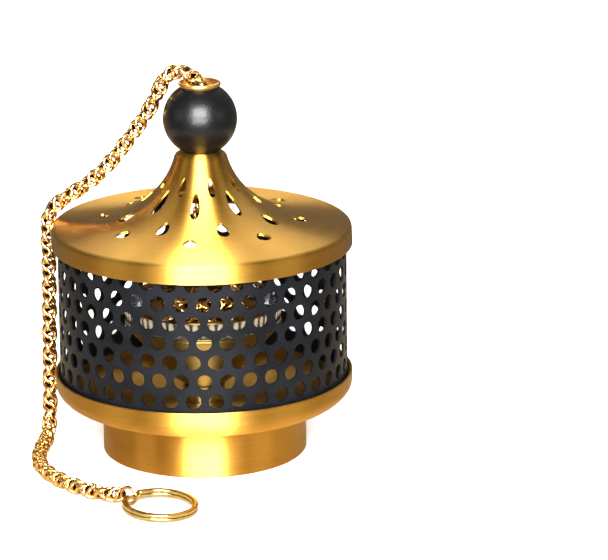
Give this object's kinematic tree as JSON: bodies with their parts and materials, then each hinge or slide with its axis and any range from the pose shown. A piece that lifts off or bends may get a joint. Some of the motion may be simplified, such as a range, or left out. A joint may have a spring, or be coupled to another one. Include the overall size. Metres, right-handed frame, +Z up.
{
  "type": "thurible",
  "caption": "Hanging censer with a pierced lid, a perforated fire basket on a footed pan, a ball knob and a rope chain that ends in a finger ring.",
  "frame": {"origin": "centre of the foot's lower edge, on the surface it stands on", "axes": "+Z up along the censer's axis, -Y toward the front, where the finger ring lies"},
  "size_m": [0.1353, 0.1611, 0.1658],
  "materials": {
    "satin_brass": "satin, brushed round the axis",
    "bowl_brass": "satin spun",
    "eyelet_brass": "satin",
    "black_sheet": "satin black",
    "black_ball": "satin black lacquer",
    "bright_steel": "mirror",
    "plain_steel": "plain",
    "gold_chain": "polished",
    "pale_gold": "polished"
  },
  "bodies": {
    "root": {"foot_ring": "satin_brass", "base_pan": "satin_brass", "basket": "black_sheet", "pedestal": "bowl_brass", "brass_bowl": "bowl_brass", "steel_liner": "bright_steel", "eye_bolt": "plain_steel", "seat_washer": "plain_steel", "bolt_washer": "plain_steel", "bolt_nut": "plain_steel", "base_link": "gold_chain", "chain_coil": "gold_chain", "chain_riser": "gold_chain"},
    "chain": {"chain_outer": "gold_chain", "end_link": "gold_chain"},
    "lid": {"lid_shell": "satin_brass", "ball_knob": "black_ball", "eyelet": "eyelet_brass", "clamp_washer": "satin_brass", "tube_nut": "satin_brass"},
    "finger_ring": {"split_ring": "pale_gold"}
  },
  "joints": [
    {"name": "lid_lift", "type": "slide", "parent": "root", "child": "chain", "axis": [0, 0, 1], "range_m": [0, 0.05]},
    {"name": "lid_turn", "type": "hinge", "parent": "chain", "child": "lid", "pos_m": [0, 0, 0.1432], "axis": [0, 0, 1], "continuous": true},
    {"name": "ring_swing", "type": "hinge", "parent": "chain", "child": "finger_ring", "pos_m": [-0.02915, -0.07578, 0.0034], "axis": [-0.4695, -0.8829, 0], "range_deg": [0, 110]}
  ]
}
